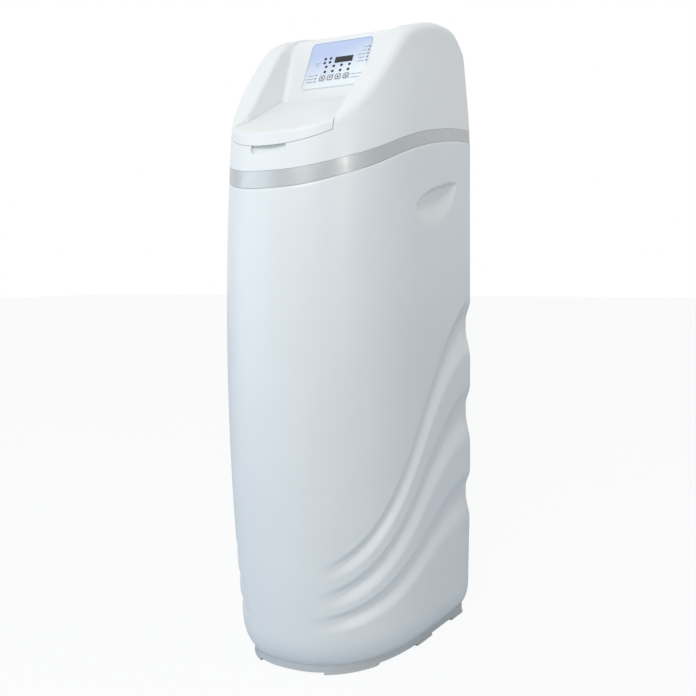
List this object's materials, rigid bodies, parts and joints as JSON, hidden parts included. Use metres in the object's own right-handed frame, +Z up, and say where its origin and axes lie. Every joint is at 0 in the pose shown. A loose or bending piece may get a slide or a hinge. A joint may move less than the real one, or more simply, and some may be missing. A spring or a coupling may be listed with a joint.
{
  "type": "water softener",
  "caption": "Cabinet water softener with S-shaped trim band, hood with lidded salt trough and sloping control panel, and an inner pressure tank with valve and brine well.",
  "frame": {"origin": "centre of the footprint (fittings behind the body included) at floor level", "axes": "+X to the right seen from the front, -Y out of the front, +Z up"},
  "size_m": [0.326, 0.509, 1.1324],
  "materials": {
    "white_shell": "satin white moulded plastic",
    "silver_trim": "satin silver plastic",
    "film": "printed film, pale blue to white",
    "clear_window": "smoked clear plastic window",
    "key_cap": "soft matte keys",
    "light_lens": "small lenses",
    "circuit": "green circuit board",
    "dark_plastic": "dark moulded plastic",
    "steel": "plain steel",
    "tank_blue": "fibre-wound pressure tank with a liner",
    "resin": "ion exchange beads",
    "pipe_white": "white plastic pipe",
    "valve_black": "glass-filled black plastic",
    "ceramic_disc": "lapped ceramic",
    "seal_rubber": "black rubber",
    "gear_white": "natural acetal",
    "line_tube": "milky tube"
  },
  "bodies": {
    "cabinet": {"cabinet_shell": "white_shell", "trim_band": "silver_trim", "base_plinth": "white_shell", "foot_pads": "white_shell", "tank_shell": "tank_blue", "tank_boot": "dark_plastic", "resin_bed": "resin", "riser_tube": "pipe_white", "lower_distributor": "pipe_white", "upper_distributor": "pipe_white", "valve_body": "valve_black", "neck_seal": "seal_rubber", "fixed_disc": "ceramic_disc", "gear_plate": "valve_black", "valve_screws": "steel", "drive_motor": "dark_plastic", "drive_cover": "valve_black", "injector_cap": "valve_black", "drain_fitting": "valve_black", "inlet_adapter": "valve_black", "outlet_adapter": "valve_black", "adapter_clips": "steel", "meter_cage": "gear_white", "meter_sensor": "dark_plastic", "brine_well": "pipe_white", "brine_valve": "valve_black", "pickup_tube": "pipe_white", "air_check": "valve_black", "brine_line": "line_tube", "overflow_fitting": "valve_black"},
    "hood": {"hood_shell": "white_shell", "hinge_pins": "steel", "control_overlay": "film", "display_window": "clear_window", "indicator_lights": "light_lens", "circuit_board": "circuit", "display_module": "dark_plastic", "key_switches": "dark_plastic", "board_screws": "steel", "power_inlet": "dark_plastic"},
    "lid": {"salt_lid": "white_shell"},
    "menu_key": {"menu_key": "key_cap"},
    "down_key": {"down_key": "key_cap"},
    "up_key": {"up_key": "key_cap"},
    "set_key": {"set_key": "key_cap"},
    "safety_float": {"safety_float": "pipe_white"},
    "well_cap": {"brine_well_cap": "pipe_white"},
    "disc_drive": {"moving_disc": "ceramic_disc", "drive_gear": "gear_white"},
    "motor_pinion": {"motor_pinion": "gear_white"},
    "meter_impeller": {"meter_impeller": "gear_white"}
  },
  "joints": [
    {"name": "hood_lift", "type": "slide", "parent": "cabinet", "child": "hood", "axis": [0, 0, 1], "range_m": [0, 0.25]},
    {"name": "lid_hinge", "type": "hinge", "parent": "hood", "child": "lid", "pos_m": [0, -0.05354, 0.98318], "axis": [-1, 0, 0], "range_deg": [0, 120]},
    {"name": "menu_key_push", "type": "slide", "parent": "hood", "child": "menu_key", "axis": [0, 0.8902, -0.4555], "range_m": [0, 0.0008], "stiffness_N_per_m": 500},
    {"name": "down_key_push", "type": "slide", "parent": "hood", "child": "down_key", "axis": [0, 0.8902, -0.4555], "range_m": [0, 0.0008], "stiffness_N_per_m": 500},
    {"name": "up_key_push", "type": "slide", "parent": "hood", "child": "up_key", "axis": [0, 0.8902, -0.4555], "range_m": [0, 0.0008], "stiffness_N_per_m": 500},
    {"name": "set_key_push", "type": "slide", "parent": "hood", "child": "set_key", "axis": [0, 0.8902, -0.4555], "range_m": [0, 0.0008], "stiffness_N_per_m": 500},
    {"name": "float_rise", "type": "slide", "parent": "cabinet", "child": "safety_float", "axis": [0, 0, 1], "range_m": [0, 0.02]},
    {"name": "well_cap_lift", "type": "slide", "parent": "cabinet", "child": "well_cap", "axis": [0, 0, 1], "range_m": [0, 0.03]},
    {"name": "disc_turn", "type": "hinge", "parent": "cabinet", "child": "disc_drive", "pos_m": [0, 0.09146, 1.04], "axis": [0, 0, 1], "continuous": true},
    {"name": "motor_turn", "type": "hinge", "parent": "cabinet", "child": "motor_pinion", "pos_m": [0.0375, 0.09146, 1.04], "axis": [0, 0, 1], "continuous": true},
    {"name": "meter_spin", "type": "hinge", "parent": "cabinet", "child": "meter_impeller", "pos_m": [0.045, 0.16546, 0.985], "axis": [0, 1, 0], "continuous": true}
  ],
  "couplings": [
    {"joint": "motor_turn", "follows": "disc_turn", "ratio": -4}
  ]
}
